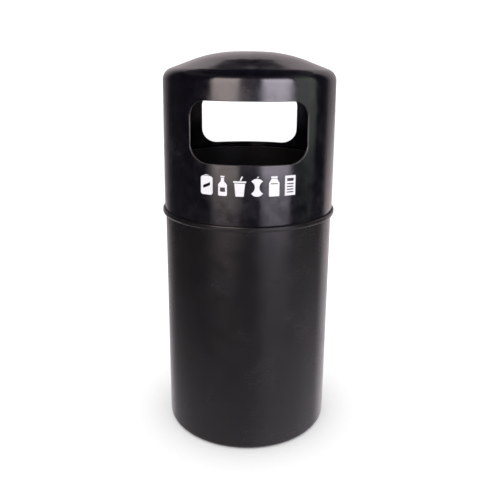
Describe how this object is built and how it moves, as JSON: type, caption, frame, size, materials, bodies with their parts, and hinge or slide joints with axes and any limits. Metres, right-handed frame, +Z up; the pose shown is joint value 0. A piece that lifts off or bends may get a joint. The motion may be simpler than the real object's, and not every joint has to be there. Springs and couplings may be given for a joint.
{
  "type": "litter bin",
  "caption": "Tall round hooded litter bin: moulded body with a rim bead, lift-off domed hood with front and rear apertures, key locks and a lift-out liner with wire handles.",
  "frame": {"origin": "centre of the underside, on the ground", "axes": "+Z up along the bin's axis, the front aperture faces -Y, +X to the right seen from the front"},
  "size_m": [0.466, 0.4658, 1.019],
  "materials": {
    "hood_plastic": "gloss",
    "body_plastic": "satin, lightly scuffed",
    "liner_plastic": "matte",
    "film": "semi-gloss self-adhesive film",
    "lock_zinc": "satin chromed zinc",
    "steel": "zinc plated",
    "rivet_aluminium": "plain"
  },
  "bodies": {
    "bin_body": {"body_shell": "body_plastic", "keeper_right": "steel", "keeper_left": "steel", "keeper_rivets": "rivet_aluminium"},
    "hood": {"hood_shell": "hood_plastic", "pictograms_front": "film", "pictograms_rear": "film", "lock_housing_right": "lock_zinc", "lock_washer_right": "steel", "lock_nut_right": "steel", "lock_housing_left": "lock_zinc", "lock_washer_left": "steel", "lock_nut_left": "steel"},
    "lock_right": {"lock_spindle_right": "steel", "lock_cam_right": "steel", "cam_screw_right": "steel"},
    "lock_left": {"lock_spindle_left": "steel", "lock_cam_left": "steel", "cam_screw_left": "steel"},
    "liner": {"liner_shell": "liner_plastic", "handle_brackets": "steel", "bracket_rivets": "rivet_aluminium"},
    "handle_right": {"liner_handle_right": "steel"},
    "handle_left": {"liner_handle_left": "steel"}
  },
  "joints": [
    {"name": "hood_lift", "type": "slide", "parent": "bin_body", "child": "hood", "axis": [0, 0, 1], "range_m": [0, 0.45]},
    {"name": "lock_right_turn", "type": "hinge", "parent": "hood", "child": "lock_right", "pos_m": [0.22, 0, 0.65], "axis": [1, 0, 0], "range_deg": [0, 90]},
    {"name": "lock_left_turn", "type": "hinge", "parent": "hood", "child": "lock_left", "pos_m": [-0.22, 0, 0.65], "axis": [1, 0, 0], "range_deg": [0, 90]},
    {"name": "liner_lift", "type": "slide", "parent": "bin_body", "child": "liner", "axis": [0, 0, 1], "range_m": [0, 0.16]},
    {"name": "handle_right_swing", "type": "hinge", "parent": "liner", "child": "handle_right", "pos_m": [0.179, 0, 0.712], "axis": [0, 1, 0], "range_deg": [0, 180]},
    {"name": "handle_left_swing", "type": "hinge", "parent": "liner", "child": "handle_left", "pos_m": [-0.179, 0, 0.712], "axis": [0, -1, 0], "range_deg": [0, 180]}
  ]
}
